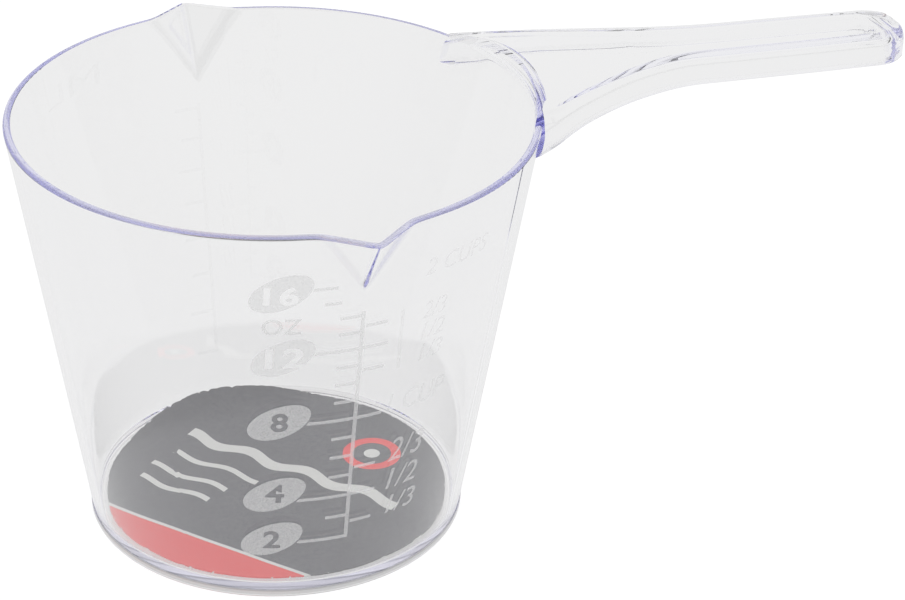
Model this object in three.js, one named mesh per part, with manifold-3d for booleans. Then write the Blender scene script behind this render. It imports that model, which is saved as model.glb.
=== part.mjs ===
// Clear plastic measuring cup with two pouring spouts, a channel handle, frosted scale marks on the wall
// and a loose paper disc on the floor inside. Millimetres, +Z up, standing on z = 0, the handle along +X.
import * as THREE from 'three';
import { ConvexGeometry } from 'three/addons/geometries/ConvexGeometry.js';
import { mergeVertices } from 'three/addons/utils/BufferGeometryUtils.js';
import Module from 'manifold-3d';

const wasm = await Module();
wasm.setup();

// Bowl: a plain cone, wider at the rim, with a thin floor on a foot ring
const rimRadius = 54.2;
const rimHeight = 90.7;
const wallSlope = 0.1632; // outward run of the wall for each millimetre of height
const wallThickness = 1.57;
const rimEdgeRound = 0.35;
const floorTop = 2.8;
const floorFillet = 1.2;
const footBandHeight = 1.7;
const footBandStep = 0.17; // how far the foot band stands proud of the wall above it
const footEdgeRound = 0.5;
const footRingWidth = 2.0;
const footRecess = 1.0;

// Pouring spouts, one at the front and one at the back
const spoutHalfWidth = 8.5;
const spoutReach = 6.2; // from the rim circle to the tip
const spoutCreaseLength = 13.4; // how far below the rim the crease meets the cone
const spoutTipDrop = 0.3;
const spoutWall = 1.65; // measured along Y

// Handle: a channel open beneath, its root arching over the rim
const handleReach = 90.5; // from the rim circle to the tip of the handle
const handleTipRadius = 8.6;
const handleDepth = 6.8;
const handleWall = 2.3;
const handleCorner = 3.0;
const channelCorner = 0.7;
const rootHalfWidth = 24.0; // at the rim circle
const rootOverlap = 10.0; // stock that reaches inside the rim before it is cut to the wall
const rootFlare = 2.0; // how much wider than at the rim that stock is
const rootInside = 4.0; // where the handle's edges leave the rim, measured inwards from the rim circle
const rootDrop = 0.5; // extra depth of the legs where they meet the wall
const rootDropLength = 14.0;
const archRise = 1.8; // crown of the arch over the rim
const archLength = 25.0;
const crestRise = 3.1; // highest point of the handle above the rim
const rimLipWidth = 1.0; // solid stock of the arch outside the rim circle

// Loose paper disc on the floor
const labelClearance = 0.38; // between its edge and the fillet round the floor
const labelThickness = 0.3;
const labelCurl = 2.2; // height of the lifted edge
const labelCurlWidth = 10.3; // how much of the disc lifts
const labelCurlAngle = 95;

// Scale marks: thin frosted layers just outside the wall. The topmost line holds sixteen ounces.
const topLineBelowRim = 12.2;
const topOunces = 16;
const lastJoinedOunce = 14; // the lines above it stand free of the upright line
const uprightOverrun = 1.0; // how far an upright line runs past its last cross line
const markThickness = 0.2;
const lineWidth = 0.75;
const tickWidth = 0.65;
const shortTick = 4.6; // from the middle of the upright line
const longTick = 5.6;
const cupTick = 5.2;
const badgeLong = 13.1;
const badgeShort = 7.5;
const badgeTilt = 26;
const badgeOffset = 15.1; // from the upright line to the middle of a badge
const topBadgeOffset = 16.2;
const badgeLift2 = 0.9; // how far the middle of each badge stands above its line
const badgeLift4 = 1.6;
const badgeLift8 = 0.5;
const badgeLift12 = -0.7;
const badgeLift16 = -0.7;
const looseTick = 3.3; // length of the free line above the upright one
const topLineEnd = 5.4; // from the upright line to the end of the topmost ounce line

// Clearances
const seatGap = 0.3; // between pieces that touch
const markGap = 0.2; // between a mark and the wall

const segments = 120;
const ouncesInCup = 8;
const millilitresInOunce = 29.5735;
const degree = Math.PI / 180;
const spare = 5; // how far a cutting solid runs past what it cuts

// Radius of the outside and the inside of the cone at a height
const outerRadius = (z) => rimRadius + wallSlope * (z - rimHeight);
const innerRadius = (z) => outerRadius(z) - wallThickness;

// Height at which the bowl holds a number of ounces. A cone's volume goes with the cube of its radius, and the
// topmost line fixes the ounce: at the size given here it is a true fluid ounce.
function heightOfOunces(ounces) {
  const floorCube = innerRadius(floorTop) ** 3;
  const topCube = innerRadius(rimHeight - topLineBelowRim) ** 3;
  const cube = floorCube + (ounces / topOunces) * (topCube - floorCube);
  return floorTop + (Math.cbrt(cube) - innerRadius(floorTop)) / wallSlope;
}

// A closed geometry as a solid that can be joined and cut
function toSolid(geometry) {
  const bare = geometry.clone();
  bare.deleteAttribute('normal');
  bare.deleteAttribute('uv');
  const merged = mergeVertices(bare, 1e-4);
  const corners = merged.index.array;
  const kept = [];
  for (let i = 0; i < corners.length; i += 3) {
    const [a, b, c] = [corners[i], corners[i + 1], corners[i + 2]];
    if (a !== b && b !== c && c !== a) kept.push(a, b, c);
  }
  return new wasm.Manifold(new wasm.Mesh({
    numProp: 3,
    vertProperties: new Float32Array(merged.attributes.position.array),
    triVerts: new Uint32Array(kept),
  }));
}

function toMesh(name, solid, material) {
  const { vertProperties, triVerts } = solid.getMesh();
  const geometry = new THREE.BufferGeometry();
  geometry.setAttribute('position', new THREE.BufferAttribute(new Float32Array(vertProperties), 3));
  geometry.setIndex(new THREE.BufferAttribute(new Uint32Array(triVerts), 1));
  geometry.computeVertexNormals();
  const mesh = new THREE.Mesh(geometry, material);
  mesh.name = name;
  return mesh;
}

const joined = (solids) => solids.reduce((whole, piece) => whole.add(piece));

// A profile of [radius, height] points turned about the bowl's axis
function turned(profile) {
  const points = profile.map(([radius, height]) => new THREE.Vector2(radius, height));
  return new THREE.LatheGeometry(points, segments).rotateX(Math.PI / 2);
}

// Points along part of an ellipse, angles in degrees
function arc(cx, cy, rx, ry, from, to, steps) {
  const points = [];
  for (let i = 0; i <= steps; i += 1) {
    const angle = (from + ((to - from) * i) / steps) * degree;
    points.push([cx + rx * Math.cos(angle), cy + ry * Math.sin(angle)]);
  }
  return points;
}

// Spout wedge: a three-sided pyramid with its point on the wall and its base at the rim.
// Inset moves it towards the axis, and overshoot carries the base past the rim plane.
function spoutWedge(side, inset, overshoot) {
  const root = new THREE.Vector3(0, outerRadius(rimHeight - spoutCreaseLength) - inset, rimHeight - spoutCreaseLength);
  const edgeY = Math.sqrt(rimRadius ** 2 - spoutHalfWidth ** 2) - inset;
  const base = [
    new THREE.Vector3(-spoutHalfWidth, edgeY, rimHeight),
    new THREE.Vector3(spoutHalfWidth, edgeY, rimHeight),
    new THREE.Vector3(0, rimRadius + spoutReach - inset, rimHeight - spoutTipDrop),
  ];
  const stretch = 1 + overshoot / spoutCreaseLength;
  const outline = [root, ...base.map((corner) => corner.clone().sub(root).multiplyScalar(stretch).add(root))];
  const backed = outline.flatMap((corner) => [corner, corner.clone().setY(corner.y - spoutWall)]);
  return toSolid(new ConvexGeometry(backed.map((corner) => corner.setY(corner.y * side))));
}

function makeBowl() {
  const footRadius = outerRadius(footBandHeight) + footBandStep;
  const body = toSolid(turned([
    [0, 0],
    [footRadius - footEdgeRound, 0],
    [footRadius, footEdgeRound],
    [footRadius, footBandHeight],
    [outerRadius(footBandHeight), footBandHeight],
    [outerRadius(rimHeight - rimEdgeRound), rimHeight - rimEdgeRound],
    [rimRadius - rimEdgeRound, rimHeight],
    [0, rimHeight],
  ]));
  const cavity = toSolid(turned([
    [0, floorTop],
    ...arc(innerRadius(floorTop) - floorFillet, floorTop + floorFillet, floorFillet, floorFillet, -90, 0, 3),
    [innerRadius(rimHeight - rimEdgeRound), rimHeight - rimEdgeRound],
    [innerRadius(rimHeight) + rimEdgeRound, rimHeight],
    [innerRadius(rimHeight) + rimEdgeRound, rimHeight + spare],
    [0, rimHeight + spare],
  ]));
  const recess = toSolid(turned([
    [0, -spare],
    [footRadius - footRingWidth, -spare],
    [footRadius - footRingWidth, footRecess],
    [0, footRecess],
  ]));
  const outside = body.add(spoutWedge(1, 0, 0)).add(spoutWedge(-1, 0, 0));
  const inside = cavity.add(spoutWedge(1, spoutWall, 1)).add(spoutWedge(-1, spoutWall, 1));
  return outside.subtract(inside).subtract(recess);
}

// A solid skinned over rings of equal length, the first and the last closed by flat caps
function loft(rings) {
  const count = rings[0].length;
  const position = rings.flat().flatMap((point) => point.toArray());
  const index = [];
  for (let r = 0; r + 1 < rings.length; r += 1) {
    for (let i = 0; i < count; i += 1) {
      const a = r * count + i;
      const b = r * count + ((i + 1) % count);
      index.push(a, b, b + count, a, b + count, a + count);
    }
  }
  const last = (rings.length - 1) * count;
  for (let i = 1; i + 1 < count; i += 1) {
    index.push(0, i + 1, i);
    index.push(last, last + i, last + i + 1);
  }
  const geometry = new THREE.BufferGeometry();
  geometry.setAttribute('position', new THREE.Float32BufferAttribute(position, 3));
  geometry.setIndex(index);
  return geometry;
}

// Handle stations: distance outside the rim circle, half width, height of the top edge above the rim
const tipCentre = handleReach - handleTipRadius;
const handlePath = new THREE.CatmullRomCurve3([
  [-rootOverlap, rootHalfWidth + rootFlare, crestRise * 0.3],
  [-rootInside, rootHalfWidth, crestRise * 0.5],
  [0.045 * tipCentre, rootHalfWidth * 0.833, crestRise * 0.77],
  [0.145 * tipCentre, rootHalfWidth * 0.683, crestRise * 0.93],
  [0.265 * tipCentre, rootHalfWidth * 0.53, crestRise],
  [0.41 * tipCentre, handleTipRadius * 1.135, crestRise * 0.92],
  [0.56 * tipCentre, handleTipRadius * 1.045, crestRise * 0.65],
  [0.78 * tipCentre, handleTipRadius * 1.03, crestRise * 0.32],
  [tipCentre, handleTipRadius, 0],
].map(([out, halfWidth, rise]) => new THREE.Vector3(rimRadius + out, halfWidth, rimHeight + rise)));

const fade = (distance, length) => Math.max(0, 1 - Math.max(0, distance) / length);

// One cross section of the handle: upright legs, rounded corners and a crowned top.
// Inset shrinks it to the channel inside, which runs out below the legs.
function handleSection(x, halfWidth, top, inset) {
  const out = x - rimRadius;
  const y = halfWidth - inset;
  const corner = Math.min(Math.max(handleCorner - inset, channelCorner), y * 0.8);
  const crest = top - inset;
  const crown = archRise * fade(out, archLength);
  const depth = handleDepth + rootDrop * fade(out, rootDropLength) ** 2;
  const bottom = inset > 0 ? top - depth - spare : top - depth;
  const half = [[y, bottom], ...arc(y - corner, crest - corner, corner, corner, 0, 90, 3)];
  for (const share of [2 / 3, 1 / 3]) half.push([share * (y - corner), crest + crown * (1 - share ** 2)]);
  const ring = [...half, [0, crest + crown], ...half.map(([side, height]) => [-side, height]).reverse()];
  return ring.map(([side, height]) => new THREE.Vector3(x, side, height));
}

function handleBody(inset) {
  const rings = [];
  const stations = 26;
  for (let i = 0; i < stations; i += 1) {
    const { x, y, z } = handlePath.getPoint(i / stations);
    rings.push(handleSection(x, y, z, inset));
  }
  const centre = rimRadius + tipCentre;
  const reach = handleTipRadius - inset;
  const steps = 9;
  const lastAngle = 86;
  for (let i = 0; i <= steps; i += 1) {
    const angle = (i / steps) * lastAngle * degree;
    const along = reach * Math.sin(angle);
    const intoRound = Math.max(0, along - (reach - handleCorner)) / handleCorner;
    const top = rimHeight - handleCorner * (1 - Math.sqrt(1 - intoRound ** 2));
    rings.push(handleSection(centre + along, inset + reach * Math.cos(angle), top, inset));
  }
  return toSolid(loft(rings));
}

function makeHandle() {
  const high = rimHeight + crestRise + archRise + spare;
  const low = rimHeight - handleDepth - rootDrop - spare;
  const bowlSpace = toSolid(turned([
    [0, low],
    [outerRadius(low) + seatGap, low],
    [rimRadius + seatGap, rimHeight],
    [rimRadius + seatGap, rimHeight + seatGap],
    [innerRadius(rimHeight), rimHeight + seatGap],
    [innerRadius(rimHeight), high],
    [0, high],
  ]));
  const lip = toSolid(turned([
    [0, rimHeight + seatGap],
    [rimRadius + rimLipWidth, rimHeight + seatGap],
    [rimRadius + rimLipWidth, high],
    [0, high],
  ]));
  const channel = handleBody(handleWall).subtract(lip);
  return handleBody(0).subtract(channel).subtract(bowlSpace);
}

// Paper disc with one edge lifted: rings of points on the floor, raised towards the curled side
function makeLabel() {
  const labelRadius = innerRadius(floorTop) - floorFillet - labelClearance;
  const curlStart = labelRadius - labelCurlWidth;
  const rings = 6;
  const profile = [[0, 0]];
  for (let i = 1; i <= rings; i += 1) profile.push([(labelRadius * i) / rings, 0]);
  const lid = profile.map(([radius]) => [radius, labelThickness]).reverse();
  const points = [...profile, ...lid].map(([radius, height]) => new THREE.Vector2(radius, height));
  const disc = new THREE.LatheGeometry(points, segments / 2).rotateX(Math.PI / 2);
  const position = disc.attributes.position;
  const curlX = Math.cos(labelCurlAngle * degree);
  const curlY = Math.sin(labelCurlAngle * degree);
  for (let i = 0; i < position.count; i += 1) {
    const towards = position.getX(i) * curlX + position.getY(i) * curlY;
    const share = Math.max(0, towards - curlStart) / labelCurlWidth;
    position.setZ(i, position.getZ(i) + floorTop + seatGap + labelCurl * share ** 2);
  }
  return toSolid(disc);
}

// The thin layer outside the wall that every mark is cut from
const markLayer = toSolid(turned([
  [outerRadius(footBandHeight) + markGap, footBandHeight],
  [outerRadius(footBandHeight) + markGap + markThickness, footBandHeight],
  [rimRadius + markGap + markThickness, rimHeight],
  [rimRadius + markGap, rimHeight],
  [outerRadius(footBandHeight) + markGap, footBandHeight],
]));

// A flat shape as a prism through the wall. Side is the angle of the scale round the bowl, across is measured
// along the wall to the right of the upright line, and height is that of the shape's own origin.
function throughWall(shape, side, across, height) {
  const reach = 3 * spare;
  const angle = side * degree + across / outerRadius(height);
  const prism = new THREE.ExtrudeGeometry(shape, { depth: 2 * reach, bevelEnabled: false });
  const outward = new THREE.Vector3(Math.cos(angle), Math.sin(angle), 0);
  const right = new THREE.Vector3(-outward.y, outward.x, 0);
  const up = new THREE.Vector3(0, 0, 1);
  const centre = outward.clone().multiplyScalar(outerRadius(height) - reach).setZ(height);
  prism.applyMatrix4(new THREE.Matrix4().makeBasis(right, up, outward).setPosition(centre));
  return toSolid(prism);
}

function rectangle(left, right, width) {
  const corners = [[left, -width / 2], [right, -width / 2], [right, width / 2], [left, width / 2]];
  return new THREE.Shape(corners.map(([x, y]) => new THREE.Vector2(x, y)));
}

const front = -90;
const back = 90;
// Numbered ounce lines and their badges
const badges = [
  { ounces: 2, lift: badgeLift2, offset: badgeOffset },
  { ounces: 4, lift: badgeLift4, offset: badgeOffset },
  { ounces: 8, lift: badgeLift8, offset: badgeOffset },
  { ounces: 12, lift: badgeLift12, offset: badgeOffset },
  { ounces: topOunces, lift: badgeLift16, offset: topBadgeOffset },
];

function badgeShape(grow) {
  const outline = arc(0, 0, badgeLong / 2 + grow, badgeShort / 2 + grow, 0, 360, 28).slice(1);
  const tilt = badgeTilt * degree;
  return new THREE.Shape(outline.map(([x, y]) => new THREE.Vector2(x, y).rotateAround(new THREE.Vector2(), tilt)));
}

function badgePrism({ ounces, lift, offset }, grow) {
  return throughWall(badgeShape(grow), front, -offset, heightOfOunces(ounces) + lift);
}

// An upright line from one cross line to past another
function uprightPrism(side, lowest, highest) {
  const low = heightOfOunces(lowest) - tickWidth / 2;
  const high = heightOfOunces(highest) + uprightOverrun;
  return throughWall(rectangle(-lineWidth / 2, lineWidth / 2, high - low), side, 0, (low + high) / 2);
}

const crossPrism = (side, ounces, left, right) => (
  throughWall(rectangle(left, right, tickWidth), side, 0, heightOfOunces(ounces)));

const badgeSpaces = joined(badges.map((badge) => badgePrism(badge, seatGap)));

// The upright line with the ounce lines that branch from it, cut short of the badges
function makeFrontScale() {
  const prisms = [uprightPrism(front, badges[0].ounces, lastJoinedOunce)];
  for (let ounces = badges[0].ounces; ounces <= lastJoinedOunce; ounces += 1) {
    const numbered = badges.some((badge) => badge.ounces === ounces);
    const left = numbered ? -badgeOffset : -shortTick;
    const right = ounces % 4 === 0 ? longTick : 0;
    prisms.push(crossPrism(front, ounces, left, right));
  }
  return joined(prisms).subtract(badgeSpaces).intersect(markLayer);
}

// Lines that stand free above the upright line
const freeLines = [
  { ounces: 15, left: -shortTick - looseTick, right: -shortTick },
  { ounces: topOunces, left: -topBadgeOffset, right: -topLineEnd },
];

function makeFreeLine({ ounces, left, right }) {
  return crossPrism(front, ounces, left, right).subtract(badgeSpaces).intersect(markLayer);
}

// Thirds of a cup, short lines on the right of the upright line
const thirds = [1, 2, 4, 5];

function makeCupTick(count) {
  return crossPrism(front, (count * ouncesInCup) / 3, lineWidth / 2 + seatGap, cupTick).intersect(markLayer);
}

// Metric scale on the back: an upright line with a tick every 50 ml, a longer one every 100 ml
function makeBackScale() {
  const steps = [50, 100, 150, 200, 250, 300, 350, 400];
  const inOunces = (millilitres) => millilitres / millilitresInOunce;
  const ticks = steps.map((millilitres) => {
    const reach = millilitres % 100 === 0 ? longTick : shortTick;
    return crossPrism(back, inOunces(millilitres), 0, reach);
  });
  const upright = uprightPrism(back, inOunces(steps[0]), inOunces(steps.at(-1)));
  return joined([upright, ...ticks]).intersect(markLayer);
}

const clearPlastic = () => new THREE.MeshStandardMaterial({
  color: 0xe8e7f2, roughness: 0.06, metalness: 0, transparent: true, opacity: 0.4,
});
const frosted = () => new THREE.MeshStandardMaterial({ color: 0xcfcfd2, roughness: 0.8, metalness: 0 });
const paper = new THREE.MeshStandardMaterial({ color: 0x2a2a2c, roughness: 0.55, metalness: 0 });

const model = new THREE.Group();
model.add(toMesh('bowl', makeBowl(), clearPlastic()));
model.add(toMesh('handle', makeHandle(), clearPlastic()));
model.add(toMesh('base_label', makeLabel(), paper));
model.add(toMesh('front_scale', makeFrontScale(), frosted()));
for (const line of freeLines) model.add(toMesh(`ounce_line_${line.ounces}`, makeFreeLine(line), frosted()));
for (const badge of badges) {
  model.add(toMesh(`ounce_badge_${badge.ounces}`, badgePrism(badge, 0).intersect(markLayer), frosted()));
}
for (const count of thirds) model.add(toMesh(`cup_tick_${count}_thirds`, makeCupTick(count), frosted()));
model.add(toMesh('back_scale', makeBackScale(), frosted()));

// The origin lies on the table, midway between the far side of the rim and the tip of the handle
model.position.x = -handleReach / 2;

const part = new THREE.Group();
part.add(model);
export default part;
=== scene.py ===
import math
import bmesh
import bpy
from mathutils import Matrix, Vector


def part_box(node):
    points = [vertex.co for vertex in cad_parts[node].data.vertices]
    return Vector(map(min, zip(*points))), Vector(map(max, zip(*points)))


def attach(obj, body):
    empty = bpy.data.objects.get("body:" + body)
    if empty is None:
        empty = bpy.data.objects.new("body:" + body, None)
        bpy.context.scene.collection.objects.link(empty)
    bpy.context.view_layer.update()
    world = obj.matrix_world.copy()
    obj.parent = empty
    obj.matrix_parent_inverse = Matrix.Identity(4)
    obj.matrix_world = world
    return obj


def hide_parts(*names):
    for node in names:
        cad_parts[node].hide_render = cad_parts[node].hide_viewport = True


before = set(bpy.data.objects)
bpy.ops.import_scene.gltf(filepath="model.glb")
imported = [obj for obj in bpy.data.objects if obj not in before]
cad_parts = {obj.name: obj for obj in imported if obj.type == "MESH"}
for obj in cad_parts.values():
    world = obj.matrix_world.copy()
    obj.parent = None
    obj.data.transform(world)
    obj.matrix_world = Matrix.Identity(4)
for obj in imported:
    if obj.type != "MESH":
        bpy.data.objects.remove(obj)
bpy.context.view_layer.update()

# The bowl: a plain cone on a foot ring, 1.6 mm thick, whose rim runs out into a pouring spout in front and at
# the back. It is clear polystyrene and leaves the mould in one piece with the handle of the next section.
# Sizes are in millimetres, about the bowl's own axis.
MM = 0.001
FRONT = -90
BACK = 90
axis_x = (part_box("bowl")[0].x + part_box("bowl")[1].x) / 2
rim_radius = 54.18
rim_height = 90.7
wall_slope = 0.1632
wall = 1.57
rim_round = 0.7
inner_round = 0.35
arch_half_angle = 27.5
foot_band = 1.7
foot_step = 0.17
foot_round = 0.5
foot_ring = 2.0
foot_recess = 1.0
hollow_draft = 0.3
floor_top = 2.8
floor_fillet = 1.2
spout_tip = 60.36
spout_half_width = 8.5
spout_root = rim_height - 13.4
spout_drop = 0.3
spout_wall = 1.65
spout_blend = 0.8
crease_round = 0.010
# A ring this close beside each rounding keeps its shading off the flat face next to it.
support = 0.15


def cone_radius(z):
    return rim_radius + wall_slope * (z - rim_height)


def rim_level(angle):
    """Height of the rim, which drops a little towards the tip of each spout."""
    drop = 0
    for side in (FRONT, BACK):
        turn = math.radians(angle - side)
        share = abs(math.sin(turn)) * rim_radius / spout_half_width
        if math.cos(turn) > 0:
            drop += max(0, 1 - share)
    return rim_height - spout_drop * drop


def wall_radius(angle, z, inset=0.0):
    """Radius of the wall. The spouts push it out in two flat faces that meet in a crease."""
    radius = cone_radius(z) - inset
    for side in (FRONT, BACK):
        turn = math.radians(angle - side)
        if math.cos(turn) < 0.7:
            continue
        rise = (z - spout_root) / (rim_height - spout_drop - spout_root)
        crease = cone_radius(spout_root) + (spout_tip - cone_radius(spout_root)) * rise
        crease -= spout_wall * inset / wall
        edge = math.sqrt(rim_radius ** 2 - spout_half_width ** 2)
        fall = (spout_tip - edge) / spout_half_width
        across = math.hypot(math.sin(turn), crease_round) - crease_round
        face = crease / (math.cos(turn) + fall * across)
        radius = 0.5 * (radius + face + math.hypot(radius - face, spout_blend))
    return radius


def round_angles():
    """Angles round the bowl, close together at the two spouts."""
    angles = []
    angle = -180.0
    while angle < 180 - 1e-6:
        angles.append(angle)
        near = min(abs(angle - FRONT), abs(angle - BACK))
        close = near < 1.99 or angle in (FRONT - 2, BACK - 2)
        angle = round(angle + (0.125 if close else 0.5), 3)
    return angles


angles = round_angles()
# Heights of the rings in the wall, close together beside the spouts
wall_levels = [foot_band, 20, 40, 60, 72] + [74 + 0.7 * i for i in range(24)]
wall_levels = [z for z in wall_levels if z < rim_height - rim_round - 0.4]


def polar(angle, radius, z):
    turn = math.radians(angle)
    return (radius * math.cos(turn), radius * math.sin(turn), z)


def level_ring(radius, z):
    return [polar(angle, radius, z) for angle in angles]


def wall_ring(z, inset=0.0):
    return [polar(angle, wall_radius(angle, z, inset), z) for angle in angles]


def skin(rings):
    """Vertices and faces of a skin over rings of equal length, closed at both ends."""
    count = len(rings[0])
    vertices = [point for ring in rings for point in ring]
    faces = []
    for r in range(len(rings) - 1):
        for i in range(count):
            j = (i + 1) % count
            faces.append((r * count + i, r * count + j, (r + 1) * count + j, (r + 1) * count + i))
    faces.append(tuple(reversed(range(count))))
    faces.append(tuple(range((len(rings) - 1) * count, len(rings) * count)))
    return vertices, faces


def put_in_scene(name, mesh):
    piece = bpy.data.objects.new(name, mesh)
    bpy.context.scene.collection.objects.link(piece)
    return piece


def new_piece(name, vertices, faces):
    """A closed mesh object in the row's frame from points in millimetres about the bowl's axis."""
    mesh = bpy.data.meshes.new(name)
    mesh.from_pydata([(x * MM + axis_x, y * MM, z * MM) for x, y, z in vertices], [], faces)
    mesh.validate()
    shaped = bmesh.new()
    shaped.from_mesh(mesh)
    bmesh.ops.recalc_face_normals(shaped, faces=shaped.faces)
    shaped.to_mesh(mesh)
    shaped.free()
    return put_in_scene(name, mesh)


def bowl_body():
    """The outside of the bowl as a solid: foot, wall, spouts and the rounded outer edge of the rim."""
    foot = cone_radius(foot_band) + foot_step
    rings = [level_ring(foot - foot_round - support, 0), level_ring(foot - foot_round, 0)]
    for i in range(1, 7):
        turn = math.radians(15 * i)
        rise = foot_round * (1 - math.cos(turn))
        rings.append(level_ring(foot - foot_round + foot_round * math.sin(turn), rise))
    rings += [level_ring(foot, foot_round + support), level_ring(foot, foot_band)]
    rings += [wall_ring(z) for z in wall_levels]
    levels = [rim_level(a) - rim_round - support for a in angles]
    rings.append([polar(a, wall_radius(a, z), z) for a, z in zip(angles, levels)])
    for i in range(9):
        turn = math.radians(90 * i / 8)
        ring = []
        for a in angles:
            top = rim_level(a)
            radius = wall_radius(a, top - rim_round) - rim_round * (1 - math.cos(turn))
            ring.append(polar(a, radius, top - rim_round * (1 - math.sin(turn))))
        rings.append(ring)
    for inset in (rim_round + support, 3):
        ring = []
        for a in angles:
            top = rim_level(a)
            ring.append(polar(a, wall_radius(a, top - rim_round) - inset, top))
        rings.append(ring)
    return new_piece("clear_cup", *skin(rings))


def inner_rounding(angle):
    """Radius of the rim's inner edge. Where the handle springs from the rim, that edge is nearly sharp."""
    beyond = (abs(angle) - arch_half_angle + 1.5) / 3
    return inner_round * min(1, max(0.02, beyond))


def bowl_cavity():
    """The room inside the bowl as a solid. It runs on above the rim, to trim the handle's root there."""
    start = cone_radius(floor_top) - wall - floor_fillet
    rings = [level_ring(5, floor_top), level_ring(start - support, floor_top)]
    for i in range(9):
        turn = math.radians(90 * i / 8)
        z = floor_top + floor_fillet * (1 - math.cos(turn))
        rings.append(level_ring(start + floor_fillet * math.sin(turn), z))
    rings.append(level_ring(cone_radius(z + support) - wall, z + support))
    rings += [wall_ring(z, wall) for z in wall_levels[1:]]
    for i in range(-1, 11):
        turn = math.radians(9 * max(0, i))
        ring = []
        for a in angles:
            edge = inner_rounding(a)
            z = rim_level(a) - edge - (support if i < 0 else 0)
            radius = wall_radius(a, z, wall) + edge * (1 - math.cos(turn))
            ring.append(polar(a, radius, z + edge * math.sin(turn)))
        rings.append(ring)
    for rise in (1, 6):
        above = []
        for a, (x, y, z) in zip(angles, ring):
            above.append(polar(a, math.hypot(x, y) + 0.3 * rise, z + rise))
        rings.append(above)
    return new_piece("cavity", *skin(rings))


def foot_hollow():
    """The recess inside the foot ring as a solid."""
    radius = cone_radius(foot_band) + foot_step - foot_ring
    mouth = radius + hollow_draft
    levels = [(mouth, -2), (mouth, 0), (radius, 0.4), (radius - hollow_draft, foot_recess)]
    return new_piece("hollow", *skin([level_ring(r, z) for r, z in levels]))


def cut_or_join(piece, tool, operation):
    """Joins a solid to the piece or cuts it away, and throws the tool away."""
    step = piece.modifiers.new(operation.lower(), "BOOLEAN")
    step.object = tool
    step.operation = operation
    step.solver = "MANIFOLD"
    shaped = bpy.data.meshes.new_from_object(piece.evaluated_get(bpy.context.evaluated_depsgraph_get()))
    piece.modifiers.clear()
    piece.data = shaped
    bpy.data.objects.remove(tool)


clear_cup = bowl_body()

# The handle: a channel, open beneath, that springs from a broad root, arches a little over the rim and
# narrows to an even grip with a round end. It is moulded with the bowl, so it is joined to it here, and both
# are one clear plastic, whose violet dye shows only where light runs along the wall or into an edge.
handle_reach = 90.5
grip_radius = 8.6
handle_depth = 6.8
handle_wall = 2.3
handle_corner = 3.0
channel_corner = 0.9
tip_wall = 3.5
channel_end_round = 1.2
channel_bite = 0.02
crest_rise = 3.1
edge_round = 0.45
arch_rise = 1.75
arch_length = 25.0
root_half_width = 24.0
root_start = -3.0
root_drop = 1.0
root_drop_length = 14.0
root_web = 1.0
root_web_length = 6.0
root_corner = 4.3
root_corner_length = 25.0
tip_centre = handle_reach - grip_radius
# Distance out from the rim circle, half width, and height of the crest above the rim
handle_stations = [
    (-10.0, root_half_width + 2, 0.3 * crest_rise),
    (-4.0, root_half_width, 0.5 * crest_rise),
    (3.7, 20.0, 0.77 * crest_rise),
    (11.9, 16.4, 0.93 * crest_rise),
    (21.7, 12.7, crest_rise),
    (33.6, 9.76, 0.92 * crest_rise),
    (45.9, 8.99, 0.65 * crest_rise),
    (63.9, 8.86, 0.32 * crest_rise),
    (tip_centre, grip_radius, 0.0),
]


def smooth_between(stations, count):
    """Points on a smooth curve through the stations."""
    points = [Vector(station) for station in stations]
    points = [2 * points[0] - points[1]] + points + [2 * points[-1] - points[-2]]
    curve = []
    for i in range(1, len(points) - 2):
        a, b, c, d = points[i - 1:i + 3]
        for step in range(count):
            t = step / count
            curve.append(0.5 * (2 * b + (c - a) * t + (2 * a - 5 * b + 4 * c - d) * t ** 2
                                + (3 * b - 3 * c + d - a) * t ** 3))
    return curve


def fading(out, start, length):
    """1 up to a start on the way out along the handle, and falling to 0 over a length."""
    return max(0, 1 - max(0, out - start) / length)


def handle_section(out, half_width, rise, inset):
    """One cross section: upright legs, rounded corners, crowned top. An inset gives the channel inside."""
    web = root_web * fading(out, root_start, root_web_length) ** 2 if inset > 0 else 0
    half = half_width - inset - web
    outer_corner = handle_corner + (root_corner - handle_corner) * fading(out, root_start, root_corner_length)
    corner = min(max(outer_corner - inset, channel_corner), half * 0.85)
    crest = rim_height + rise - inset
    crown = arch_rise * fading(out, 0, arch_length) ** 1.2
    depth = handle_depth + root_drop * fading(out, 0, root_drop_length) ** 2
    bottom = rim_height + rise - depth
    side = []
    if inset > 0:
        side.append((half + edge_round, bottom - 5))
        side.append((half + edge_round, bottom - 0.01))
        side.append((half, bottom + edge_round))
    else:
        for i in range(5):
            turn = math.radians(90 * i / 4)
            y = half - min(edge_round, half) * (1 - math.sin(turn))
            side.append((y, bottom + edge_round * (1 - math.cos(turn))))
        side.append((half, bottom + edge_round + support))
    side.append((half, crest - corner - support))
    for i in range(13):
        turn = math.radians(90 * i / 12)
        y = half - corner * (1 - math.cos(turn))
        side.append((y, crest - corner * (1 - math.sin(turn))))
    for i in range(1, 16):
        share = 1 - i / 16
        side.append((share * (half - corner), crest + crown * (1 - share ** 2)))
    ring = side + [(0, crest + crown)] + [(-y, z) for y, z in reversed(side)]
    return [(rim_radius + out, y, z) for y, z in ring]


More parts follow.
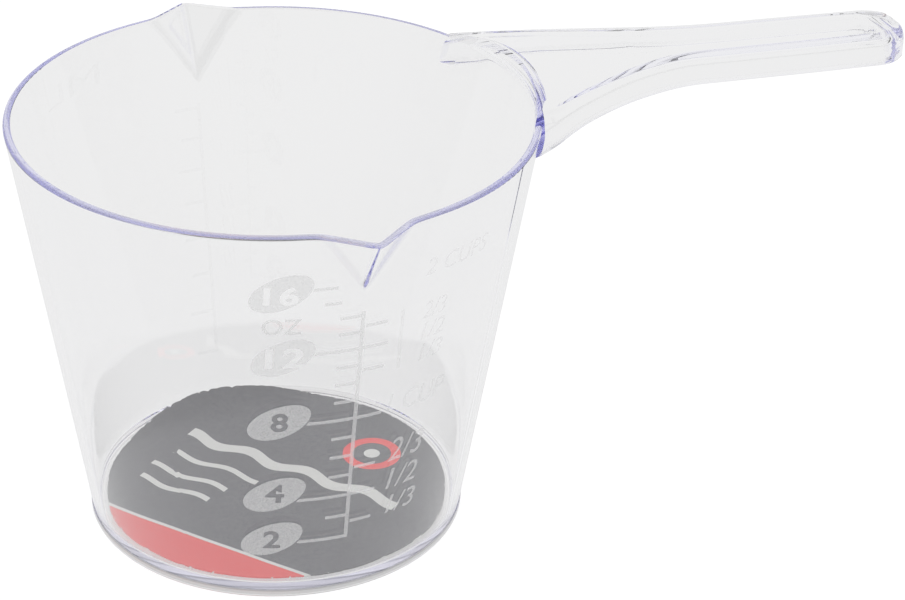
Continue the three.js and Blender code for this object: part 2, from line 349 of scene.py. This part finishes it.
def handle_solid(name, inset):
    rings = [handle_section(*station, inset) for station in smooth_between(handle_stations, 14)]
    reach = grip_radius - inset
    length = grip_radius - (tip_wall if inset > 0 else 0)
    for i in range(31):
        turn = math.radians(87 * i / 30)
        along = length * math.sin(turn)
        into_round = max(0, along - (length - handle_corner)) / handle_corner
        fall = handle_corner * (1 - math.sqrt(1 - into_round ** 2))
        rings.append(handle_section(tip_centre + along, inset + reach * math.cos(turn), -fall, inset))
    return new_piece(name, *skin(rings))


def cone_plug():
    """The bowl's own outside, with the rounding where the roof of the channel runs into the wall."""
    low, high = rim_height - 20, rim_height + 12
    rings = [level_ring(cone_radius(low) - channel_bite, low)]
    for i in range(11):
        turn = math.radians(9 * i)
        z = rim_height - channel_end_round * (1 - math.sin(turn))
        radius = cone_radius(z) - channel_bite + channel_end_round * (1 - math.cos(turn))
        rings.append(level_ring(radius, z))
    rings.append(level_ring(radius + 2, high))
    return new_piece("plug", *skin(rings))


channel = handle_solid("channel", handle_wall)
cut_or_join(channel, cone_plug(), "DIFFERENCE")
handle = handle_solid("handle_stock", 0)
cut_or_join(handle, channel, "DIFFERENCE")
cut_or_join(clear_cup, handle, "UNION")
cut_or_join(clear_cup, bowl_cavity(), "DIFFERENCE")
cut_or_join(clear_cup, foot_hollow(), "DIFFERENCE")
clear_cup.data.shade_smooth()
clear_cup.data.set_sharp_from_angle(angle=math.radians(32))


def node(tree, kind, **values):
    """Adds a shader node. Values set its properties, or its sockets where the name is a socket's."""
    made = tree.nodes.new(kind)
    for key, value in values.items():
        if hasattr(made, key):
            setattr(made, key, value)
        else:
            made.inputs[key.replace("_", " ")].default_value = value
    return made


def ranged(tree, value, start, end, low, high, blend="LINEAR"):
    """Maps a socket's value from the range start to end onto the range low to high."""
    made = node(tree, "ShaderNodeMapRange", interpolation_type=blend)
    for socket, number in (("From Min", start), ("From Max", end), ("To Min", low), ("To Max", high)):
        made.inputs[socket].default_value = number
    tree.links.new(value, made.inputs["Value"])
    return made


# Heights in millimetres with the painted shade in the plastic's colour there: the foot is painted grey for
# the shade where it stands on the floor, and painted darkest at its step
foot_shade_height = 4.0
foot_painted_shades = [
    (0.0, (0.74, 0.735, 0.73)),
    (1.30, (0.76, 0.755, 0.75)),
    (1.55, (0.34, 0.34, 0.35)),
    (1.95, (0.38, 0.38, 0.39)),
    (2.15, (0.83, 0.82, 0.82)),
    (3.10, (0.87, 0.86, 0.86)),
    (3.50, (1.0, 1.0, 1.0)),
]
clear_plastic = bpy.data.materials.new("clear_polystyrene")
clear_plastic.use_nodes = True
tree = clear_plastic.node_tree
plastic = tree.nodes["Principled BSDF"]
plastic.inputs["Base Color"].default_value = (1, 1, 1, 1)
plastic.inputs["IOR"].default_value = 1.59
plastic.inputs["Transmission Weight"].default_value = 1.0
where = node(tree, "ShaderNodeTexCoord")
flow = node(tree, "ShaderNodeTexNoise", Scale=60.0, Detail=2.0)
tree.links.new(where.outputs["Object"], flow.inputs["Vector"])
gloss = ranged(tree, flow.outputs["Fac"], 0, 1, 0.0, 0.012)
tree.links.new(gloss.outputs["Result"], plastic.inputs["Roughness"])
dye = node(tree, "ShaderNodeVolumeAbsorption", Density=4.6)
dye.inputs["Color"].default_value = (0.60, 0.59, 0.97, 1)
tree.links.new(dye.outputs["Volume"], tree.nodes["Material Output"].inputs["Volume"])
place = node(tree, "ShaderNodeSeparateXYZ")
tree.links.new(where.outputs["Object"], place.inputs[0])
foot_shade_zone = node(tree, "ShaderNodeMath", operation="DIVIDE")
foot_shade_zone.inputs[1].default_value = foot_shade_height * MM
tree.links.new(place.outputs["Z"], foot_shade_zone.inputs[0])
# This ramp paints the foot's shade into the plastic's colour by height: painted shade, not a tint of the
# plastic
foot_shade_ramp = node(tree, "ShaderNodeValToRGB")
stops = foot_shade_ramp.color_ramp.elements
stops[0].color = (*foot_painted_shades[0][1], 1)
stops[1].position = 1.0
for height, colour in foot_painted_shades[1:]:
    stop = stops.new(height / foot_shade_height)
    stop.color = (*colour, 1)
tree.links.new(foot_shade_zone.outputs[0], foot_shade_ramp.inputs["Fac"])
tree.links.new(foot_shade_ramp.outputs["Color"], plastic.inputs["Base Color"])
clear_cup.data.materials.clear()
clear_cup.data.materials.append(clear_plastic)
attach(clear_cup, "root")
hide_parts("bowl", "handle")

# The marks: lines, oval badges, numbers and unit words, with a fine matt grain, on the outside of the wall.
# The real ones are part of the moulding. The ounce numbers are left clear in their badges, and the upper cup
# words and the back scale have less grain than the rest.
mark_gap = 0.2
mark_thickness = 0.05
badge_long = 13.1
badge_short = 7.5
badge_tilt = math.radians(26)
letter_slant = 0.25
# The ounce number, the middle of its badge across the wall, and the box that the number fills
badges = [
    ("16", -16.2, (-19.5, -12.8, 75.1, 79.4)),
    ("12", -15.1, (-18.5, -10.9, 59.9, 64.8)),
    ("8", -15.1, (-16.65, -13.3, 44.0, 48.7)),
    ("4", -15.1, (-16.9, -13.15, 25.6, 30.4)),
    ("2", -15.1, (-16.8, -13.3, 13.4, 18.1)),
]
# Slanted words, each with the box that it fills: left, right, low, high
upper_cup_words = [
    ("2/3", 13.3, 19.3, 66.2, 70.2),
    ("1/2", 13.3, 19.3, 61.1, 65.1),
    ("1/3", 13.3, 19.3, 55.9, 59.9),
    ("1 CUP", 6.7, 21.1, 44.8, 49.6),
]
lower_cup_words = [
    ("2/3", 8.2, 16.8, 31.9, 37.6),
    ("1/2", 8.3, 16.0, 24.6, 29.8),
    ("1/3", 8.7, 16.2, 18.0, 22.6),
]


def lettering(words, left, right, low, high, slant=0.0, weight=0.0, depth=0.0, spacing=1.0):
    """Words in Blender's own letters that just fill the given box: flat, or solid where there is a depth."""
    letters = bpy.data.curves.new("letters", "FONT")
    letters.body = words
    letters.shear = slant
    letters.offset = weight
    letters.extrude = 1.0 if depth else 0.0
    letters.space_character = spacing
    typed = put_in_scene("letters", letters)
    mesh = bpy.data.meshes.new_from_object(typed.evaluated_get(bpy.context.evaluated_depsgraph_get()))
    bpy.data.objects.remove(typed)
    across = [vertex.co.x for vertex in mesh.vertices]
    above = [vertex.co.y for vertex in mesh.vertices]
    for vertex in mesh.vertices:
        vertex.co.x = left + (right - left) * (vertex.co.x - min(across)) / (max(across) - min(across))
        vertex.co.y = low + (high - low) * (vertex.co.y - min(above)) / (max(above) - min(above))
        vertex.co.z *= depth
    if depth:
        shaped = bmesh.new()
        shaped.from_mesh(mesh)
        bmesh.ops.remove_doubles(shaped, verts=shaped.verts, dist=0.004)
        bmesh.ops.recalc_face_normals(shaped, faces=shaped.faces)
        shaped.to_mesh(mesh)
        shaped.free()
    return put_in_scene(words, mesh)


def wrap(name, flats, side):
    """Lays flat shapes on the outside of the wall, gives them their thickness and makes them one piece."""
    shaped = bmesh.new()
    for flat in flats:
        shaped.from_mesh(flat.data)
        bpy.data.objects.remove(flat)
    lone = [vertex for vertex in shaped.verts if not vertex.link_faces]
    bmesh.ops.delete(shaped, geom=lone, context="VERTS")
    bmesh.ops.triangulate(shaped, faces=shaped.faces[:])
    low = min(vertex.co.x for vertex in shaped.verts)
    high = max(vertex.co.x for vertex in shaped.verts)
    cut = math.ceil(low)
    while cut < high:
        everything = shaped.verts[:] + shaped.edges[:] + shaped.faces[:]
        bmesh.ops.bisect_plane(shaped, geom=everything, plane_co=(cut, 0, 0), plane_no=(1, 0, 0))
        cut += 1
    grown = bmesh.ops.extrude_face_region(shaped, geom=shaped.faces[:])["geom"]
    outer = {vertex for vertex in grown if isinstance(vertex, bmesh.types.BMVert)}
    for vertex in shaped.verts:
        vertex.co.z = mark_thickness if vertex in outer else 0
    bmesh.ops.recalc_face_normals(shaped, faces=shaped.faces)
    for vertex in shaped.verts:
        across, z, lift = vertex.co
        radius = cone_radius(z)
        turn = math.radians(side) + across / radius
        radius += mark_gap + lift
        vertex.co = (radius * math.cos(turn) * MM + axis_x, radius * math.sin(turn) * MM, z * MM)
    mesh = bpy.data.meshes.new(name)
    shaped.to_mesh(mesh)
    shaped.free()
    return put_in_scene(name, mesh)


def badge_outline(centre, height):
    """A tilted oval."""
    points = []
    for i in range(72):
        turn = math.radians(5 * i)
        x = badge_long / 2 * math.cos(turn)
        y = badge_short / 2 * math.sin(turn)
        points.append((centre + x * math.cos(badge_tilt) - y * math.sin(badge_tilt),
                       height + x * math.sin(badge_tilt) + y * math.cos(badge_tilt)))
    return points


def badge_plate(words, centre, height, left, right, low, high):
    """A badge with its number cut out, as a flat sheet."""
    outline = badge_outline(centre, height)
    count = len(outline)
    points = [(x, y, z) for z in (-0.5, 0.5) for x, y in outline]
    faces = [tuple(reversed(range(count))), tuple(range(count, 2 * count))]
    faces += [(i, (i + 1) % count, count + (i + 1) % count, count + i) for i in range(count)]
    mesh = bpy.data.meshes.new("plate")
    mesh.from_pydata(points, [], faces)
    plate = put_in_scene("plate", mesh)
    number = lettering(words, left, right, low, high, weight=0.03, depth=2.0, spacing=1.1)
    cut_or_join(plate, number, "DIFFERENCE")
    shaped = bmesh.new()
    shaped.from_mesh(plate.data)
    under = [face for face in shaped.faces if face.normal.z < 0.9]
    bmesh.ops.delete(shaped, geom=under, context="FACES")
    shaped.to_mesh(plate.data)
    shaped.free()
    return plate


def grained(name, least, most):
    """A matt grain that covers between the least and the most share of the clear plastic under it."""
    made = bpy.data.materials.new(name)
    made.use_nodes = True
    tree = made.node_tree
    look = tree.nodes["Principled BSDF"]
    look.inputs["Roughness"].default_value = 0.6
    look.inputs["IOR"].default_value = 1.3
    where = node(tree, "ShaderNodeTexCoord")
    grain = node(tree, "ShaderNodeTexNoise", Scale=4200.0, Detail=2.0)
    tree.links.new(where.outputs["Object"], grain.inputs["Vector"])
    cover = ranged(tree, grain.outputs["Fac"], 0.35, 0.65, least, most)
    tree.links.new(cover.outputs["Result"], look.inputs["Alpha"])
    tone = node(tree, "ShaderNodeMix", data_type="RGBA")
    tone.inputs["A"].default_value = (0.90, 0.90, 0.91, 1)
    tone.inputs["B"].default_value = (0.97, 0.97, 0.97, 1)
    tree.links.new(grain.outputs["Fac"], tone.inputs["Factor"])
    tree.links.new(tone.outputs["Result"], look.inputs["Base Color"])
    return made


frosted = grained("frosted_marks_grain", 0.26, 0.38)
light_frosted = grained("light_marks_grain", 0.07, 0.15)
faint_frosted = grained("faint_marks_grain", 0.0, 0.05)

for words, centre, number_box in badges:
    node_name = "ounce_badge_" + words
    low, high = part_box(node_name)
    height = (low.z + high.z) / 2 / MM
    plate = wrap("badge_" + words, [badge_plate(words, centre, height, *number_box)], FRONT)
    plate.data.materials.append(frosted)
    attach(plate, "root")
    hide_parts(node_name)

ounce_word = lettering("OZ", -19.5, -12.0, 68.1, 71.8, weight=0.008)
lower_words = [lettering(*row, slant=letter_slant) for row in lower_cup_words]
front_words = wrap("front_lettering", [ounce_word] + lower_words, FRONT)
upper_words = [
    lettering("2 CUPS", 13.0, 30.0, 76.7, 80.6, slant=letter_slant),
    lettering("1", 8.2, 8.9, 55.9, 70.1),
]
upper_words += [lettering(*row, slant=letter_slant) for row in upper_cup_words]
cup_words = wrap("cup_lettering", upper_words, FRONT)
back_words = wrap("back_lettering", [lettering("ML", 24.0, 42.0, 80.2, 84.6)], BACK)
for words, finish in ((front_words, frosted), (cup_words, light_frosted), (back_words, faint_frosted)):
    words.data.materials.append(finish)
    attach(words, "root")
for name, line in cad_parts.items():
    if name not in ("bowl", "handle", "base_label"):
        for place in line.material_slots:
            place.material = faint_frosted if name == "back_scale" else frosted

# The label: a disc of coated paper, printed black with a red foot, that lies on the floor inside the bowl.
# Its far edge has curled up and is frayed, and the cut edge shows white paper here and there.
label_radius = 36.7
label_low = floor_top + 0.3
label_thickness = 0.28
curl_height = 2.9
curl_width = 10.3
curl_side = math.radians(95)
label_rings = 26
label_steps = 480
print_turn = math.radians(-52.3)
foot_rule = -27.0
foot_rule_width = 0.9
wave_pitch = 0.42
ring_middle = (12, 20)
ring_radius = 5.4
ring_half_width = 1.1
dot_radius = 1.8
fray_depth = 3.0
fray_margin = 0.35
# White wavy rules: middle and height in the print, swing, width and half length
waves = [
    (0, 5.5, 1.1, 3.2, 27),
    (-14, -2.5, 0.7, 1.6, 11),
    (-17, -9, 0.7, 1.6, 10),
    (-17, -14.5, 0.7, 1.6, 9),
]


def ragged(turn):
    """Waves and bites in the cut edge, in millimetres, with more and finer tears on the curled side."""
    bites = max(0, math.sin(turn * 37 + 1.3) * math.sin(turn * 11) - 0.7) * 0.9
    tears = max(0, math.sin(turn * 61) * math.sin(turn * 23 + 0.8)) * (1 + math.sin(turn * 113))
    far = max(0, math.cos(turn - curl_side)) ** 0.5
    return 0.05 * math.sin(turn * 9 + 0.4) + 0.03 * math.sin(turn * 23) + bites + 0.22 * far * tears


def label_height(x, y):
    towards = x * math.cos(curl_side) + y * math.sin(curl_side)
    share = max(0, towards - (label_radius - curl_width)) / curl_width
    ripple = 0.06 * (1 + math.sin(0.31 * x + 0.7) * math.cos(0.27 * y))
    return label_low + ripple + curl_height * share ** 2


def label_skin(lift):
    rings = []
    for r in range(1, label_rings + 1):
        share = r / label_rings
        ring = []
        for i in range(label_steps):
            turn = 2 * math.pi * i / label_steps
            radius = share * label_radius - ragged(turn) * share ** 8
            x, y = radius * math.cos(turn), radius * math.sin(turn)
            ring.append((x, y, label_height(x, y) + lift))
        rings.append(ring)
    return rings


under, over = label_skin(0), label_skin(label_thickness)
label = new_piece("paper_label", *skin(under + over[::-1]))
label.data.shade_smooth()
label.data.set_sharp_from_angle(angle=math.radians(40))

paper = bpy.data.materials.new("printed_label")
paper.use_nodes = True
tree = paper.node_tree
where = node(tree, "ShaderNodeTexCoord")
laid = node(tree, "ShaderNodeMapping", vector_type="TEXTURE")
laid.inputs["Location"].default_value = (axis_x, 0, 0)
laid.inputs["Rotation"].default_value = (0, 0, print_turn)
laid.inputs["Scale"].default_value = (MM, MM, MM)
tree.links.new(where.outputs["Object"], laid.inputs["Vector"])
split = node(tree, "ShaderNodeSeparateXYZ")
tree.links.new(laid.outputs["Vector"], split.inputs[0])
along, across = split.outputs["X"], split.outputs["Y"]


def calc(tree, operation, *values):
    """A maths node on sockets or numbers, as its output."""
    made = node(tree, "ShaderNodeMath", operation=operation)
    for place, value in zip(made.inputs, values):
        if isinstance(value, (int, float)):
            place.default_value = value
        else:
            tree.links.new(value, place)
    return made.outputs[0]


def off_line(value, line):
    """Distance of a coordinate from a number."""
    return calc(tree, "ABSOLUTE", calc(tree, "SUBTRACT", value, line))


def distance(x, y):
    """Distance from a spot of the print."""
    dx = calc(tree, "POWER", calc(tree, "SUBTRACT", along, x), 2)
    dy = calc(tree, "POWER", calc(tree, "SUBTRACT", across, y), 2)
    return calc(tree, "SQRT", calc(tree, "ADD", dx, dy))


def wave_rule(middle, height, swing, width, half_length):
    """A white wavy rule of a given width, between its two ends."""
    wave = calc(tree, "MULTIPLY", calc(tree, "SINE", calc(tree, "MULTIPLY", along, wave_pitch)), swing)
    off = off_line(calc(tree, "SUBTRACT", across, height), wave)
    inside = calc(tree, "LESS_THAN", off, width / 2)
    between = calc(tree, "LESS_THAN", off_line(along, middle), half_length)
    return calc(tree, "MULTIPLY", inside, between)


def tinted(factor, first, second):
    """Mixes two colours, each given as a colour or as a socket."""
    made = node(tree, "ShaderNodeMix", data_type="RGBA")
    for socket, colour in (("A", first), ("B", second)):
        if isinstance(colour, tuple):
            made.inputs[socket].default_value = (*colour, 1)
        else:
            tree.links.new(colour, made.inputs[socket])
    tree.links.new(factor, made.inputs["Factor"])
    return made.outputs["Result"]


spot = distance(*ring_middle)
ring = calc(tree, "LESS_THAN", off_line(spot, ring_radius), ring_half_width)
red = calc(tree, "MAXIMUM", ring, calc(tree, "LESS_THAN", across, foot_rule))
white = calc(tree, "LESS_THAN", spot, dot_radius)
for wave in waves:
    white = calc(tree, "MAXIMUM", white, wave_rule(*wave))
white = calc(tree, "MAXIMUM", white, wave_rule(0, foot_rule, 0, foot_rule_width, 60))
fibre = node(tree, "ShaderNodeTexNoise", Scale=900.0, Detail=4.0)
tree.links.new(where.outputs["Object"], fibre.inputs["Vector"])
fray = calc(tree, "MULTIPLY", calc(tree, "SUBTRACT", fibre.outputs["Fac"], 0.5), fray_depth)
frayed = calc(tree, "ADD", distance(0, 0), fray)
edge_shows = calc(tree, "GREATER_THAN", frayed, label_radius + fray_margin)
white = calc(tree, "MAXIMUM", white, edge_shows)
black_ink = tinted(fibre.outputs["Fac"], (0.155, 0.153, 0.17), (0.245, 0.243, 0.26))
red_ink = tinted(fibre.outputs["Fac"], (0.98, 0.145, 0.15), (1.0, 0.19, 0.195))
bare = tinted(fibre.outputs["Fac"], (0.80, 0.80, 0.78), (0.88, 0.88, 0.86))
look = tree.nodes["Principled BSDF"]
look.inputs["Roughness"].default_value = 0.45
look.inputs["Specular IOR Level"].default_value = 0.5
tree.links.new(tinted(white, tinted(red, black_ink, red_ink), bare), look.inputs["Base Color"])
label.data.materials.append(paper)
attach(label, "root")
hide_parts("base_label")

# The floor: a plain white sheet that runs out of sight. The camera sees it white, with the cup's faint
# shadow. In the clear plastic it shows a little darker, and for all other light it is plain matt white.
far = 6
floor_mesh = bpy.data.meshes.new("floor")
floor_mesh.from_pydata([(-far, -far, 0), (far, -far, 0), (far, far, 0), (-far, far, 0)], [], [(0, 1, 2, 3)])
floor = put_in_scene("floor", floor_mesh)
floor_white = bpy.data.materials.new("white_sheet")
floor_white.use_nodes = True
tree = floor_white.node_tree
tree.nodes.remove(tree.nodes["Principled BSDF"])
rays = node(tree, "ShaderNodeLightPath")
through = calc(tree, "MAXIMUM", rays.outputs["Is Glossy Ray"], rays.outputs["Is Transmission Ray"])
shown = calc(tree, "MAXIMUM", rays.outputs["Is Camera Ray"], through)
matt_white = node(tree, "ShaderNodeBsdfDiffuse", Color=(0.85, 0.85, 0.85, 1))
shadow_part = node(tree, "ShaderNodeBsdfDiffuse", Color=(0.2, 0.2, 0.2, 1))
level = ranged(tree, through, 0, 1, 0.89, 0.69)
glow = node(tree, "ShaderNodeEmission")
tree.links.new(level.outputs["Result"], glow.inputs["Strength"])
both = node(tree, "ShaderNodeAddShader")
tree.links.new(shadow_part.outputs[0], both.inputs[0])
tree.links.new(glow.outputs[0], both.inputs[1])
choose = node(tree, "ShaderNodeMixShader")
tree.links.new(shown, choose.inputs[0])
tree.links.new(matt_white.outputs[0], choose.inputs[1])
tree.links.new(both.outputs[0], choose.inputs[2])
tree.links.new(choose.outputs[0], tree.nodes["Material Output"].inputs["Surface"])
floor_mesh.materials.append(floor_white)

# The light: a white studio, a little darker overhead, and dark along the horizon apart from a bright sweep
# behind the cup. In glossy reflections the side where the camera stands is dark too. One weak soft box is on
# the left.
world = bpy.data.worlds.new("studio")
bpy.context.scene.world = world
world.use_nodes = True
tree = world.node_tree
background = tree.nodes["Background"]
background.inputs["Color"].default_value = (1, 1, 1, 1)
direction = node(tree, "ShaderNodeTexCoord")
split = node(tree, "ShaderNodeSeparateXYZ")
tree.links.new(direction.outputs["Generated"], split.inputs[0])


def towards(azimuth, elevation):
    """How far each direction of the world agrees with a given one."""
    turn, rise = math.radians(azimuth), math.radians(elevation)
    given = (math.cos(turn) * math.cos(rise), math.sin(turn) * math.cos(rise), math.sin(rise))
    made = node(tree, "ShaderNodeVectorMath", operation="DOT_PRODUCT")
    made.inputs[1].default_value = given
    tree.links.new(direction.outputs["Generated"], made.inputs[0])
    return made.outputs["Value"]


behind_cup = towards(67, 0)
camera_side = towards(-113, 18)
overhead = ranged(tree, split.outputs["Z"], 0.75, 0.97, 0.88, 0.6, "SMOOTHSTEP")
sweep = ranged(tree, behind_cup, 0.80, 0.93, 0.08, 1.0, "SMOOTHSTEP")
skyline = ranged(tree, split.outputs["Z"], 0.08, 0.2, 0.08, 1.0, "SMOOTHSTEP")
tree.links.new(sweep.outputs["Result"], skyline.inputs["To Min"])
rays = node(tree, "ShaderNodeLightPath")
in_gloss = ranged(tree, rays.outputs["Is Glossy Ray"], 0, 1, 1.0, 0.04)
room = ranged(tree, camera_side, 0.60, 0.78, 1.0, 1.0, "SMOOTHSTEP")
tree.links.new(in_gloss.outputs["Result"], room.inputs["To Max"])
studio = calc(tree, "MULTIPLY", overhead.outputs["Result"], skyline.outputs["Result"])
studio = calc(tree, "MULTIPLY", studio, room.outputs["Result"])
tree.links.new(studio, background.inputs["Strength"])

box_place = Vector((-1.1, -0.4, 0.9))
box_light = bpy.data.lights.new("left_box", "AREA")
box_light.shape = "SQUARE"
box_light.size = 0.9
box_light.energy = 1.5
left_box = put_in_scene("left_box", box_light)
left_box.location = box_place
left_box.rotation_euler = (Vector((0, 0, 0.05)) - box_place).to_track_quat("-Z", "Y").to_euler()

# The camera stands in front and to the left of the cup and looks down on it, as in the photograph. Its place,
# roll and lens were solved from the rim, the foot and the handle there.
camera_data = bpy.data.cameras.new("camera")
camera_data.sensor_width = 36
camera_data.lens = 114.06
camera = put_in_scene("camera", camera_data)
azimuth = math.radians(-23.1)
elevation = math.radians(29.179)
roll = math.radians(1.5065)
distance_away = 598.15 * MM
aim_height = 47.41 * MM
aim_right = 36.97
level_out = math.cos(elevation)
looks_back = Vector((math.sin(azimuth) * level_out, -math.cos(azimuth) * level_out, math.sin(elevation)))
right = Vector((math.cos(azimuth), math.sin(azimuth), 0))
up = looks_back.cross(right)
right, up = right * math.cos(roll) + up * math.sin(roll), up * math.cos(roll) - right * math.sin(roll)
aim = Vector((axis_x, 0, aim_height)) + right * aim_right * MM
turned = Matrix((right, up, looks_back)).transposed().to_4x4()
camera.matrix_world = Matrix.Translation(aim + looks_back * distance_away) @ turned
bpy.context.scene.camera = camera
bpy.context.scene.view_settings.view_transform = "Standard"
# Light goes round inside the clear plastic many times before it comes out
cycles = bpy.context.scene.cycles
cycles.max_bounces = 200
cycles.glossy_bounces = 200
cycles.transmission_bounces = 200
cycles.transparent_max_bounces = 16
cycles.blur_glossy = 0.0
